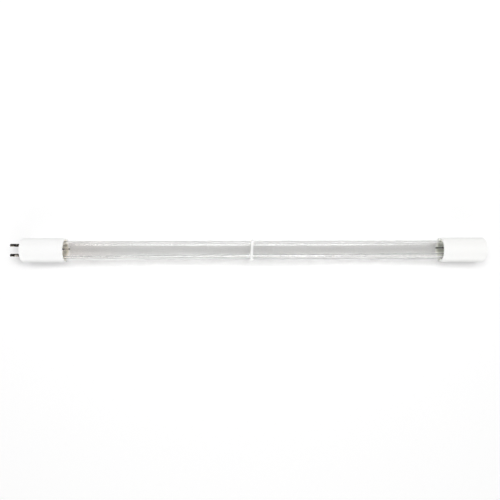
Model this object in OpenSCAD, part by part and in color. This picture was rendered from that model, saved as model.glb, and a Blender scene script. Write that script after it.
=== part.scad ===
// Single-ended four-pin germicidal lamp with a clear quartz tube.
// X runs along the lamp from the pin face of the base cap, Z is up, and the tube's axis is the X axis.

/* [Lamp] */
// Length over the two caps
lamp_len = 369; // [240:1:1200]
// Distance from the end of the discharge space to the middle of each electrode coil
coil_stand = 9.1; // [9:0.1:40]

/* [Quartz tube] */
// Outside diameter of the quartz tube
tube_od = 15; // [14:0.5:19]
// Wall of the quartz tube
tube_wall = 1; // [0.8:0.1:1.3]
// Length of solid quartz in each pinch seal
seal_len = 12.5; // [11:0.5:16]
// Thickness of the flat of each pinch seal
pinch_t = 3; // [2.4:0.1:3.4]
// Thickness of the rounded rims along each pinch seal
rim_d = 4; // [3.6:0.1:4.4]
// How far the rims stand inside the tube's skin
rim_inset = 0.2; // [0.1:0.05:0.5]
// Radius of the shoulder between the round tube and the pinch
shoulder_r = 3.5; // [2.6:0.1:4]
// Diameter of the tipped-off exhaust stem
stem_d = 2.6; // [2.2:0.1:3]
// Length of the exhaust stem outside the pinch
stem_len = 2.9; // [2.6:0.1:3.4]
// Bore of the exhaust stem
stem_bore = 1; // [0.8:0.1:1.4]

/* [Caps] */
// Length of each ceramic cap
cap_len = 34.2; // [32:0.2:44]
// Side wall of each cap
cap_wall = 1.2; // [1:0.01:2.5]
// End wall of each cap
end_wall = 4; // [3:0.1:5]
// Rounding of the cap's outer edges
edge_r = 0.4; // [0.2:0.1:0.9]
// Room in a cap between its end wall and the pinch, for the leads
lead_space = 9; // [8.6:0.1:12]
// Length of the cement between cap and tube
cement_len = 9; // [5:0.5:12]
// How far the cement stops short of the cap's mouth
cement_recess = 0.6; // [0.4:0.1:3]

/* [Contact pins] */
// Diameter of a contact pin
pin_d = 2.35; // [2.2:0.05:2.6]
// Length of a pin outside the cap
pin_out = 9.3; // [6:0.1:11]
// Pin spacing across the pinch, along Y
pin_span_y = 7.92; // [7.6:0.02:8.4]
// Pin spacing along the pinch, along Z
pin_span_z = 6.35; // [6:0.05:7]
// How far the shank in the end wall stands proud of the pin
shank_step = 0.1; // [0.05:0.01:0.2]
// Clearance round the shank
pin_play = 0.03; // [0.02:0.01:0.08]
// Diameter of the collar that stops the pin inside the cap
collar_d = 3.5; // [3.2:0.1:4]
// Thickness of the collar
collar_t = 0.8; // [0.5:0.1:1.2]
// Rounding of a pin's tip
nose_r = 0.7; // [0.3:0.05:1]
// Diameter of the cup that takes the lead, behind the collar
cup_d = 1.9; // [1.7:0.1:2.2]
// Length of the cup
cup_len = 2.6; // [2:0.1:3]
// Depth of the two crimp flats on a cup
crimp_depth = 0.22; // [0.1:0.02:0.3]
// Width of a crimp flat along the pin
crimp_w = 1.2; // [0.8:0.1:1.6]

/* [Leads and foils] */
// Diameter of the leads through the seal
lead_d = 0.6; // [0.5:0.05:0.7]
// Distance between the two leads of an electrode
lead_pitch = 6.4; // [5.8:0.1:7]
// Clearance round a lead in quartz, pin or splice
lead_play = 0.02; // [0.01:0.01:0.05]
// Width of a sealing foil
foil_w = 2.4; // [2:0.1:2.8]
// Thickness of a sealing foil
foil_t = 0.12; // [0.08:0.01:0.2]
// Length of a sealing foil
foil_len = 7.5; // [6:0.1:8]
// Clearance round a foil in its pocket
foil_play = 0.02; // [0.01:0.01:0.04]
// How far a lead laps onto its foil
foil_lap = 1.6; // [1:0.1:2.2]

/* [Electrode coils] */
// Outside diameter of a coil
coil_d = 1.3; // [1:0.1:1.8]
// Diameter of the coiled wire
coil_wire_d = 0.3; // [0.2:0.02:0.34]
// Number of turns
coil_turns = 10; // [6:1:12]
// Offset of the base coil from the tube's axis, along Y
base_coil_y = 0.9; // [-1:0.1:1.8]
// Offset of the far coil from the tube's axis, along Y
end_coil_y = 1.6; // [-1:0.1:1.8]
// How much further from its seal the lower end of a coil hangs
coil_slant = 2.6; // [0:0.1:3]
// Straight stretch of an inner lead where it leaves the seal
lead_rise = 1; // [0.5:0.1:2]
// Thickness of a clamp along the coil
clamp_w = 0.9; // [0.7:0.05:1.1]
// Height and width of a clamp
clamp_h = 1; // [0.9:0.05:1.3]
// Gap between a clamp and the first turn
clamp_gap = 0.25; // [0.2:0.05:0.5]

/* [Return wires] */
// Diameter of the two wires that run back outside the tube
wire_d = 0.35; // [0.25:0.05:0.4]
// Outside diameter of their sleeves
sleeve_od = 0.7; // [0.6:0.05:0.9]
// Clearance between a wire and its sleeve
wire_play = 0.03; // [0.02:0.01:0.06]
// Clearance between a sleeve and the tube, cement or ring
sleeve_play = 0.03; // [0.02:0.01:0.08]
// Depth between the sleeves and the cap's bore
sleeve_cover = 0.14; // [0.1:0.01:0.6]
// How far a sleeve reaches past the cement into a cap
sleeve_tail = 3; // [1:0.5:4]
// Angle of wire A from the top at the base, towards -Y
wire_a_base = 39; // [30:1:45]
// Angle of wire A from the top at the far end
wire_a_end = 22; // [20:1:40]
// Angle of wire B from the top at the base
wire_b_base = 66; // [55:1:70]
// Angle of wire B from the top at the far end
wire_b_end = 42; // [42:1:60]

/* [Splices in the end cap] */
// Outside diameter of a splice
splice_d = 1.9; // [1.7:0.1:2.3]
// Length of a splice
splice_len = 4; // [3:0.1:4.2]
// Closed end of a splice
splice_floor = 0.6; // [0.4:0.1:1]
// Distance of a splice from the end wall
splice_gap = 0.3; // [0.2:0.1:0.6]
// Distance of the splices from the axis, along Y
splice_y = 3.4; // [3:0.1:4.2]
// Distance between the two splices
splice_pitch = 5.8; // [5:0.1:7]
// Slack of the two wires in a splice
splice_slack = 0.12; // [0.06:0.02:0.2]

/* [Middle ring] */
// Width of the ring along the tube
ring_w = 1.8; // [1:0.1:5]
// Ring material left outside the sleeves
ring_cover = 0.5; // [0.4:0.05:1.5]
// Clearance between the ring and the tube
ring_play = 0.15; // [0.12:0.01:0.3]
// Distance of the ring from the lamp's middle
ring_shift = -0.6; // [-20:0.1:20]
// Slant of the ring
ring_slant = 4.5; // [0:0.5:5]

/* [Mercury] */
// Diameter of the mercury bead
bead_d = 1; // [0.6:0.1:1.6]
// Distance of the bead from the end of the discharge space
bead_x = 4; // [3:0.5:6]

/* [Hidden] */
$fn = 96;

// A cut runs this far past a face
eps = 0.5;
// Sides and curve steps of a swept wire
wire_sides = 8;
curve_steps = 14;
// Sides and steps a turn of a coil
coil_sides = 6;
coil_steps = 12;

// Tube and seals, measured from a cap's outer face
tube_r = tube_od / 2;
bore_r = tube_r - tube_wall;
pinch_x = end_wall + lead_space;
cavity_x = pinch_x + seal_len;
round_x = cavity_x + shoulder_r - tube_wall;
// The shoulder's arc runs a little past the tube's skin, so that the two meet at an angle
shoulder_over = 0.3;
shoulder_y = tube_r + shoulder_over - shoulder_r;
fillet_r = shoulder_y - pinch_t / 2;
fillet_x = round_x - shoulder_r - fillet_r;
rim_z = tube_r - rim_inset - rim_d / 2;

// Leads, foils and coils
lead_r = lead_d / 2;
lead_z = lead_pitch / 2;
// The lead is pressed a fifth of its radius flat where it lies on the foil
lead_flat = 0.8;
lead_y = foil_t / 2 + lead_flat * lead_r;
foil_x = pinch_x + (seal_len - foil_len) / 2;
coil_x = cavity_x + coil_stand;
coil_r = (coil_d - coil_wire_d) / 2;
coil_half = lead_z - clamp_w / 2 - clamp_gap;
// Place of a coil's tail and clamp, upper 1 or lower -1
function tail_x(side) = coil_x - coil_r - side * coil_slant / 2;

// Return wires: each lies straight on the tube, touching it at mid-length
sleeve_r = sleeve_od / 2;
wire_r = wire_d / 2;
orbit = tube_r + sleeve_play + sleeve_r;
function end_orbit(base, far) = orbit / cos((base - far) / 2);
widest_orbit = max(end_orbit(wire_a_base, wire_a_end), end_orbit(wire_b_base, wire_b_end));
cement_x = cap_len - cement_recess - cement_len;
sleeve_x = cement_x - sleeve_tail;

// Caps
cap_bore_r = widest_orbit + sleeve_r + sleeve_cover;
cap_r = cap_bore_r + cap_wall;

// Contact pins
pin_r = pin_d / 2;
shank_r = pin_r + shank_step;
cup_r = cup_d / 2;
cup_x = end_wall + collar_t + cup_len;
cup_bore_r = lead_r + lead_play;
// The leads reach the bottom of a cup, which lies level with the end wall
pin_lead_x = end_wall + lead_play;

// Splices
splice_r = splice_d / 2;
splice_x = end_wall + splice_gap;
splice_mouth = splice_x + splice_len;
splice_bore_r = lead_r + wire_r + 2 * lead_play + splice_slack;
splice_lead_y = splice_bore_r - lead_r - lead_play;
splice_wire_y = splice_bore_r - wire_r - lead_play;

// Middle ring
ring_x = lamp_len / 2 + ring_shift;
ring_r = orbit + sleeve_r + ring_cover;
ring_bore_r = tube_r + ring_play;

// A child built at the base end, turned round to the far end
module at_end() {
    translate([lamp_len, 0, 0])
        mirror([1, 0, 0])
            children();
}

// A cylinder along X from x0 to x1
module rod(x0, x1, r) {
    translate([x0, 0, 0])
        rotate([0, 90, 0])
            cylinder(h = x1 - x0, r = r);
}

// A closed tube through the points of a path. Each ring stands square to the path.
function unit(v) = v / norm(v);
function along(path, i) = unit(path[min(i + 1, len(path) - 1)] - path[max(i - 1, 0)]);
function ring_points(c, t, ref, r, n) =
    let (side = unit(cross(t, ref)), up = cross(side, t))
    [for (k = [0 : n - 1]) c + r * (cos(360 * k / n) * side + sin(360 * k / n) * up)];

module swept(path, refs, r, n) {
    rings = len(path);
    points = [for (i = [0 : rings - 1]) each ring_points(path[i], along(path, i), refs[i], r, n)];
    walls = [
        for (i = [0 : rings - 2], k = [0 : n - 1])
            let (a = i * n + k, b = i * n + (k + 1) % n)
            each [[a, b, b + n], [a, b + n, a + n]]
    ];
    first = [for (k = [n - 1 : -1 : 0]) k];
    last = [for (k = [0 : n - 1]) (rings - 1) * n + k];
    polyhedron(points, concat(walls, [first, last]));
}

module wire(path, r) {
    swept(path, [for (p = path) [0, 0, 1]], r, wire_sides);
}

// An S from p to q that leaves and arrives along X
function s_curve(p, q) = [
    for (i = [0 : curve_steps])
        let (t = i / curve_steps, s = t * t * (3 - 2 * t))
        [p[0] + (q[0] - p[0]) * t, p[1] + (q[1] - p[1]) * s, p[2] + (q[2] - p[2]) * s]
];

// A point on the wire's orbit, the angle measured from +Z towards -Y
function on_orbit(x, angle, r) = [x, -r * sin(angle), r * cos(angle)];

// Where the straight run of a return wire starts and ends
function run_start(base, far) = on_orbit(sleeve_x, base, end_orbit(base, far));
function run_end(base, far) = on_orbit(lamp_len - sleeve_x, far, end_orbit(base, far));

// A straight rod on the run of a return wire, longer by extra at each end
module run_rod(base, far, r, extra) {
    p = run_start(base, far);
    q = run_end(base, far);
    dir = unit(q - p);
    // Turned from Z onto the run, which lies close to X
    translate(p - extra * dir)
        rotate([0, acos(dir[2]), atan2(dir[1], dir[0])])
            cylinder(h = norm(q - p) + 2 * extra, r = r);
}

// Profile of a cap: radius across, distance from the outer face upwards
module cap_profile() {
    difference() {
        square([cap_r, cap_len]);
        translate([-eps, end_wall])
            square([cap_bore_r + eps, cap_len]);
        for (end = [0, 1])
            translate([0, end * cap_len])
                mirror([0, end])
                    translate([cap_r - edge_r, 0])
                        difference() {
                            translate([0, -edge_r])
                                square([2 * edge_r, 2 * edge_r]);
                            translate([0, edge_r])
                                circle(r = edge_r);
                        }
    }
}

module cap_body() {
    rotate([0, 90, 0])
        rotate([0, 0, 90])
            rotate_extrude()
                cap_profile();
}

module pin_places() {
    for (y = [1, -1], z = [1, -1])
        translate([0, y * pin_span_y / 2, z * pin_span_z / 2])
            children();
}

module base_cap() {
    color("white")
        difference() {
            cap_body();
            pin_places()
                rod(-eps, end_wall + eps, shank_r + pin_play);
        }
}

module end_cap() {
    color("white")
        at_end()
            cap_body();
}

// Profile of a pin, radius across and distance from the tip upwards: shaft, shank, collar and crimp cup
module pin_profile() {
    back = pin_out + end_wall;
    difference() {
        union() {
            translate([0, nose_r])
                square([pin_r, pin_out - nose_r]);
            square([pin_r - nose_r, pin_out]);
            translate([pin_r - nose_r, nose_r])
                circle(r = nose_r);
            translate([0, pin_out])
                square([shank_r, end_wall]);
            translate([0, back])
                square([collar_d / 2, collar_t]);
            translate([0, back])
                square([cup_r, collar_t + cup_len]);
        }
        translate([-2 * pin_r, -eps])
            square([2 * pin_r, back]);
        translate([-eps, back])
            square([cup_bore_r + eps, collar_t + cup_len + eps]);
    }
}

module contact_pin(y, z) {
    color("darkgoldenrod")
        translate([-pin_out, y * pin_span_y / 2, z * pin_span_z / 2])
            difference() {
                rotate([0, 90, 0])
                    rotate_extrude()
                        pin_profile();
                for (side = [1, -1])
                    translate([pin_out + cup_x - cup_len / 2, 0, side * (2 * cup_r - crimp_depth)])
                        cube([crimp_w, cup_d + eps, cup_d], center = true);
            }
}

// Quarter of the tube's side view at one end: rounded shoulder and hollow fillet
module shoulder_outline(arc_r, hollow_r) {
    translate([round_x, shoulder_y])
        circle(r = arc_r);
    translate([round_x - arc_r, 0])
        square([2 * arc_r, shoulder_y]);
    if (hollow_r > 0)
        difference() {
            translate([fillet_x, 0])
                square([hollow_r + eps, shoulder_y]);
            translate([fillet_x, shoulder_y])
                circle(r = hollow_r);
        }
}

// Side view of the round tube and its two shoulders, in X and Y
module tube_outline(arc_r, hollow_r) {
    translate([round_x, -shoulder_y - arc_r])
        square([lamp_len - 2 * round_x, 2 * (shoulder_y + arc_r)]);
    for (far = [0, 1], side = [0, 1])
        translate([far * lamp_len, 0])
            mirror([far, 0])
                mirror([0, side])
                    shoulder_outline(arc_r, hollow_r);
}

// Round tube with its shoulders, either the skin or the space inside
module round_tube(r, arc_r, hollow_r) {
    intersection() {
        rod(fillet_x, lamp_len - fillet_x, r);
        linear_extrude(height = 2 * tube_od, center = true)
            tube_outline(arc_r, hollow_r);
    }
}

// Section of the pinch in Y and Z: a flat web between two round rims
module pinch_section() {
    square([pinch_t, 2 * rim_z], center = true);
    for (side = [1, -1])
        translate([0, side * rim_z])
            circle(d = rim_d);
}

module pinch() {
    translate([pinch_x, 0, 0])
        rotate([90, 0, 90])
            linear_extrude(height = round_x - pinch_x)
                pinch_section();
}

// Pockets in one seal for the foils and the leads on them
module seal_pockets() {
    for (side = [1, -1])
        translate([0, 0, side * lead_z]) {
            foil_blank(foil_play);
            translate([0, lead_y, 0]) {
                rod(foil_x + foil_len - foil_lap - foil_play, cavity_x + eps, lead_r + lead_play);
                rod(pinch_x - eps, foil_x + foil_lap + foil_play, lead_r + lead_play);
            }
        }
}

module foil_blank(play) {
    translate([foil_x - play, -foil_t / 2 - play, -foil_w / 2 - play])
        cube([foil_len + 2 * play, foil_t + 2 * play, foil_w + 2 * play]);
}

// Exhaust stem, melted shut to a round end
module stem() {
    rod(pinch_x - stem_len + stem_d / 2, pinch_x + eps, stem_d / 2);
    translate([pinch_x - stem_len + stem_d / 2, 0, 0])
        sphere(d = stem_d);
}

module quartz_tube() {
    color("lightcyan", 0.35)
        difference() {
            union() {
                round_tube(tube_r, shoulder_r, fillet_r);
                pinch();
                at_end() {
                    pinch();
                    stem();
                }
            }
            round_tube(bore_r, shoulder_r - tube_wall, 0);
            seal_pockets();
            at_end() {
                seal_pockets();
                rod(pinch_x - stem_len + stem_d / 2, cavity_x + eps, stem_bore / 2);
            }
        }
}

module cement() {
    difference() {
        rod(cement_x, cement_x + cement_len, cap_bore_r);
        rod(cement_x - eps, cap_len, tube_r);
        children();
    }
}

module return_channels() {
    run_rod(wire_a_base, wire_a_end, sleeve_r + sleeve_play, eps);
    run_rod(wire_b_base, wire_b_end, sleeve_r + sleeve_play, eps);
}

module base_cement() {
    color("tan")
        cement()
            return_channels();
}

module end_cement() {
    color("tan")
        at_end()
            cement()
                at_end()
                    return_channels();
}

// Coil round a slanted axis, with a straight tail along Z at each end that lies in its clamp
module filament(y) {
    steps = coil_turns * coil_steps;
    tail_z = lead_z + clamp_w / 2 + clamp_gap;
    turn_at = function (i) 180 + 360 * i / coil_steps;
    radial = function (i) [cos(turn_at(i)), sin(turn_at(i)), 0];
    share = function (i) 2 * i / steps - 1;
    axis_at = function (i) [coil_x - share(i) * coil_slant / 2, y, share(i) * coil_half];
    coil = [for (i = [0 : steps]) axis_at(i) + coil_r * radial(i)];
    path = concat([[tail_x(-1), y, -tail_z]], coil, [[tail_x(1), y, tail_z]]);
    refs = concat([radial(0)], [for (i = [0 : steps]) radial(i)], [radial(steps)]);
    swept(path, refs, coil_wire_d / 2, coil_sides);
}

module base_filament() {
    color("gray")
        filament(base_coil_y);
}

module end_filament() {
    color("gray")
        at_end()
            filament(end_coil_y);
}

// Lead from the foil to its clamp on the coil's tail
module inner_lead(side, y) {
    z = side * lead_z;
    clamp_x = tail_x(side);
    clamp_back = clamp_x - clamp_h / 2;
    bend_from = [cavity_x + lead_rise, lead_y, z];
    bend_to = [clamp_back - lead_r, y, z];
    path = concat(
        [[foil_x + foil_len - foil_lap, lead_y, z]],
        s_curve(bend_from, bend_to),
        [[clamp_back + lead_r, y, z]]
    );
    difference() {
        union() {
            wire(path, lead_r);
            translate([clamp_x, y, z])
                cube([clamp_h, clamp_h, clamp_w], center = true);
        }
        translate([clamp_x, y, z - clamp_w])
            cylinder(h = 2 * clamp_w, r = coil_wire_d / 2 + lead_play);
        translate([0, 0, z])
            foil_blank(0);
    }
}

module base_inner_lead(side) {
    color("silver")
        inner_lead(side, base_coil_y);
}

module end_inner_lead(side) {
    color("silver")
        at_end()
            inner_lead(side, end_coil_y);
}

module foil(side) {
    color("dimgray")
        translate([0, 0, side * lead_z])
            foil_blank(0);
}

// Lead from a foil out of the pinch to a point that it reaches along X, and on to its end
module outer_lead(side, target, end_x) {
    z = side * lead_z;
    start = [pinch_x - lead_r, lead_y, z];
    path = concat(
        [[foil_x + foil_lap, lead_y, z]],
        s_curve(start, target),
        [[end_x, target[1], target[2]]]
    );
    difference() {
        wire(path, lead_r);
        translate([0, 0, z])
            foil_blank(0);
    }
}

module base_outer_lead(side) {
    target = [cup_x + lead_r, pin_span_y / 2, side * pin_span_z / 2];
    color("silver")
        outer_lead(side, target, pin_lead_x);
}

module end_outer_lead(side) {
    target = [splice_mouth + lead_r, -splice_y + splice_lead_y, side * splice_pitch / 2];
    color("silver")
        at_end()
            outer_lead(side, target, splice_x + splice_floor + lead_r);
}

// Closed-end sleeve that joins a lead and a return wire
module end_splice(side) {
    color("silver")
        at_end()
            translate([0, -splice_y, side * splice_pitch / 2])
                difference() {
                    rod(splice_x, splice_mouth, splice_r);
                    rod(splice_x + splice_floor, splice_mouth + eps, splice_bore_r);
                }
}

// Wire from a pin, along the tube and into its splice
module return_wire(base, far, side) {
    pin = [cup_x + lead_r, -pin_span_y / 2, side * pin_span_z / 2];
    splice_end = splice_x + splice_floor + lead_r;
    splice = [lamp_len - splice_mouth - lead_r, -splice_y - splice_wire_y, side * splice_pitch / 2];
    path = concat(
        [[pin_lead_x, pin[1], pin[2]]],
        s_curve(pin, run_start(base, far)),
        s_curve(run_end(base, far), splice),
        [[lamp_len - splice_end, splice[1], splice[2]]]
    );
    color("silver")
        wire(path, wire_r);
}

module return_sleeve(base, far) {
    color("ivory", 0.6)
        difference() {
            run_rod(base, far, sleeve_r, -eps);
            run_rod(base, far, wire_r + wire_play, 0);
        }
}

module middle_ring() {
    color("white")
        difference() {
            translate([ring_x, 0, 0])
                rotate([0, 0, -ring_slant])
                    difference() {
                        rod(-ring_w / 2, ring_w / 2, ring_r);
                        rod(-ring_w, ring_w, ring_bore_r);
                    }
            return_channels();
        }
}

module mercury_bead() {
    color("silver")
        translate([cavity_x + bead_x, 0, -bore_r + bead_d / 2 + foil_play])
            sphere(d = bead_d);
}

base_cap();
end_cap();
quartz_tube();
contact_pin(1, 1);  // contact_pin_1
contact_pin(-1, 1);  // contact_pin_2
contact_pin(-1, -1);  // contact_pin_3
contact_pin(1, -1);  // contact_pin_4
base_cement();
end_cement();
base_filament();
end_filament();
base_inner_lead(1);  // base_inner_lead_a
base_inner_lead(-1);  // base_inner_lead_b
end_inner_lead(1);  // end_inner_lead_a
end_inner_lead(-1);  // end_inner_lead_b
foil(1);  // base_foil_a
foil(-1);  // base_foil_b
at_end() foil(1);  // end_foil_a
at_end() foil(-1);  // end_foil_b
base_outer_lead(1);  // base_outer_lead_a
base_outer_lead(-1);  // base_outer_lead_b
end_outer_lead(1);  // end_outer_lead_a
end_outer_lead(-1);  // end_outer_lead_b
end_splice(1);  // end_splice_a
end_splice(-1);  // end_splice_b
return_wire(wire_a_base, wire_a_end, 1);  // return_wire_a
return_wire(wire_b_base, wire_b_end, -1);  // return_wire_b
return_sleeve(wire_a_base, wire_a_end);  // return_sleeve_a
return_sleeve(wire_b_base, wire_b_end);  // return_sleeve_b
middle_ring();
mercury_bead();
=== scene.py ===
# Looks for a four-pin germicidal lamp tube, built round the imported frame.
# Metres, in the frame of the solids: X along the lamp from the pin face, Z up, Y towards the picture's top.
import math

import bpy
import mathutils
import numpy as np
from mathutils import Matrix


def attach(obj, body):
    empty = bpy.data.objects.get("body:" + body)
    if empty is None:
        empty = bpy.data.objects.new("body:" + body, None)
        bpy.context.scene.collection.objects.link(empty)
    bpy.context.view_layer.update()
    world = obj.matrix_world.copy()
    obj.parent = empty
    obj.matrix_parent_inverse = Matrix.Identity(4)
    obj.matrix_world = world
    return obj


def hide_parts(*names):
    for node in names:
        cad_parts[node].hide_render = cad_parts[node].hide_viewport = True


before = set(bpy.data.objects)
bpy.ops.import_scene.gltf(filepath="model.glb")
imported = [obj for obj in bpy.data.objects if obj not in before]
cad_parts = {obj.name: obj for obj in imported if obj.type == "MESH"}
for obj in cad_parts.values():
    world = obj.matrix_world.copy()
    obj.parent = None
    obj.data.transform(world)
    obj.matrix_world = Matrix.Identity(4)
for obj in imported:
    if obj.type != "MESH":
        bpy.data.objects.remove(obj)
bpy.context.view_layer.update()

mm = 0.001

# Sizes that more than one piece uses, in millimetres, as in the solids
lamp = {
    "length": 369.0,
    "tubeR": 7.5,
    "boreR": 6.5,
    "pinchX": 13.0,        # where the flat seal starts, from a cap's outer face
    "cavityX": 25.5,       # where the space inside starts
    "roundX": 28.0,        # where the tube is fully round
    "capLength": 34.2,
    "endWall": 4.0,
    "orbit": 7.88,         # distance of the return wires from the axis
    "sleeveX": 21.6,
    "pinSpanY": 7.92,
    "pinSpanZ": 6.35,
    "leadPitch": 6.4,
    "leadY": 0.3,
    "leadR": 0.3,
    "leadCols": 20,
    "wireR": 0.175,
    "drawn": 0.98,         # share of their radius that outer leads and return wires get here, to clear their holes
}
pair = (("a", 1), ("b", -1))     # label and side in Z of what comes twice
middle = lamp["length"] / 2 * mm


# Vectors brought to length 1.
def unit(v):
    return v / np.linalg.norm(v, axis=-1, keepdims=True)


# Smooth step from 0 to 1: t t (3 - 2 t).
def eased(t):
    return t * t * (3 - 2 * t)


# Angles of the columns, once round, as a row.
def fullTurn(cols):
    return np.linspace(0, 2 * np.pi, cols, endpoint=False)[None, :]


# Quads between neighbouring rings of a grid whose columns close round.
def gridQuads(rows, cols, wrap):
    r = np.arange(rows if wrap else rows - 1)[:, None]
    c = np.arange(cols)[None, :]
    nextR, nextC = (r + 1) % rows, (c + 1) % cols
    corners = [r * cols + c, r * cols + nextC, nextR * cols + nextC, nextR * cols + c]
    return np.stack(np.broadcast_arrays(*corners), -1).reshape(-1, 4)


# A part is (points, quads, tris). rings is rows x columns x 3, in mm. A pole closes an end with a fan.
def ringPart(rings, startPole=None, endPole=None, wrap=False):
    rows, cols = rings.shape[:2]
    points = rings.reshape(-1, 3)
    quads = gridQuads(rows, cols, wrap)
    tris = np.zeros((0, 3), int)
    c = np.arange(cols)
    if startPole is not None:
        tip = np.full(cols, len(points))
        tris = np.concatenate([tris, np.stack([tip, (c + 1) % cols, c], -1)])
        points = np.concatenate([points, [startPole]])
    if endPole is not None:
        tip = np.full(cols, len(points))
        last = (rows - 1) * cols
        tris = np.concatenate([tris, np.stack([last + c, last + (c + 1) % cols, tip], -1)])
        points = np.concatenate([points, [endPole]])
    return points, quads, tris


# The same part seen in a mirror at the lamp's middle: x becomes length - x, and the faces turn over.
def atEnd(part):
    points, quads, tris = part
    return points * [-1, 1, 1] + [lamp["length"], 0, 0], quads[:, ::-1], tris[:, ::-1]


# A part turned inside out, for the wall of a hollow.
def insideOut(part):
    return part[0], part[1][:, ::-1], part[2][:, ::-1]


# Parts joined into one object that rides on the root body, smooth but for edges sharper than 40 degrees.
def piece(name, parts, replaces=()):
    offset = np.cumsum([0] + [len(p[0]) for p in parts[:-1]])
    points = np.concatenate([p[0] for p in parts]) * mm
    quads = np.concatenate([p[1] + o for p, o in zip(parts, offset)])
    tris = np.concatenate([p[2] + o for p, o in zip(parts, offset)])
    loops = np.concatenate([quads.ravel(), tris.ravel()])
    starts = np.concatenate([np.arange(len(quads)) * 4, len(quads) * 4 + np.arange(len(tris)) * 3])
    mesh = bpy.data.meshes.new(name)
    mesh.vertices.add(len(points))
    mesh.vertices.foreach_set("co", points.astype(np.float32).ravel())
    mesh.loops.add(len(loops))
    mesh.loops.foreach_set("vertex_index", loops.astype(np.int32))
    mesh.polygons.add(len(starts))
    mesh.polygons.foreach_set("loop_start", starts.astype(np.int32))
    mesh.update(calc_edges=True)
    mesh.validate()
    mesh.polygons.foreach_set("use_smooth", np.ones(len(mesh.polygons), bool))
    mesh.set_sharp_from_angle(angle=math.radians(40))
    made = bpy.data.objects.new(name, mesh)
    bpy.context.scene.collection.objects.link(made)
    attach(made, "root")
    if replaces:
        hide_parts(*replaces)
    return made


# Outline of (x, r) corners where each inner corner becomes a quadratic curve between two points a radius away.
def filleted(corners, radii, steps=7, closed=False):
    p = np.array(corners, float)
    radius = np.array(radii, float)[:, None]
    before, after = np.roll(p, 1, 0), np.roll(p, -1, 0)
    a = p + radius * unit(before - p)
    b = p + radius * unit(after - p)
    t = np.linspace(0, 1, steps)[None, :, None]
    curve = (1 - t) ** 2 * a[:, None] + 2 * t * (1 - t) * p[:, None] + t ** 2 * b[:, None]
    if closed:
        return curve.reshape(-1, 2)
    return np.concatenate([p[:1], curve[1:-1].reshape(-1, 2), p[-1:]])


# Rings of a surface of revolution about X: (x, r cos a, r sin a).
def revolved(outline, cols, centre=(0, 0)):
    a = fullTurn(cols)
    x, r = outline[:, 0][:, None], outline[:, 1][:, None]
    return np.stack([x + 0 * a, centre[0] + r * np.cos(a), centre[1] + r * np.sin(a)], -1)


# Rings of radius r carried along a path: point + r (cos b side + sin b (tangent x side)).
def carried(path, r, cols, side=None):
    tangent = unit(np.gradient(path, axis=0))
    if side is None:
        side = unit(np.cross(tangent, [0, 0, 1]))
    side = unit(side - tangent * np.sum(side * tangent, -1, keepdims=True))
    other = np.cross(tangent, side)
    b = fullTurn(cols)[..., None]
    r = np.broadcast_to(np.asarray(r, float).reshape(-1, 1, 1), (len(path), 1, 1))
    return path[:, None] + r * (np.cos(b) * side[:, None] + np.sin(b) * other[:, None])


# Carried rings, closed at the path's two ends.
def wirePart(path, r, cols, side=None):
    return ringPart(carried(path, r, cols, side), path[0], path[-1])


# S-shaped path from p to q that leaves and arrives along X: the sideways share is t t (3 - 2 t).
def sCurve(p, q):
    t = np.linspace(0, 1, 36)[:, None]
    p, q = np.array(p, float), np.array(q, float)
    return p + (q - p) * np.concatenate([t, eased(t), eased(t)], -1)


# Smooth unevenness between about -1 and 1: a sum of sines of two coordinates with seeded phases.
def uneven(a, b, seed, waves=5):
    random = np.random.default_rng(seed)
    total = 0
    for k in range(waves):
        fa, fb, phase = random.uniform(0.5, 2.5, 3) * [1 + k, 1 + k, 3]
        total = total + np.sin(fa * a + fb * b + phase) / (1 + 0.5 * k)
    return total / 2.5


# A socket that takes part in sums: each operator adds a Math node.
class Mask:
    def __init__(self, finish, socket):
        self.finish, self.socket = finish, socket

    def math(self, operation, *values):
        return self.finish.node("ShaderNodeMath", {"operation": operation}, dict(enumerate(values)))

    def __add__(self, other):
        return self.math("ADD", self, other)

    def __radd__(self, other):
        return self.math("ADD", other, self)

    def __sub__(self, other):
        return self.math("SUBTRACT", self, other)

    def __rsub__(self, other):
        return self.math("SUBTRACT", other, self)

    def __mul__(self, other):
        return self.math("MULTIPLY", self, other)

    def __rmul__(self, other):
        return self.math("MULTIPLY", other, self)

    def absolute(self):
        return self.math("ABSOLUTE", self)

    def greater(self, other):
        return self.math("MAXIMUM", self, other)

    def clamped(self):
        return self.math("MINIMUM", self.greater(0.0), 1.0)


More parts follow.
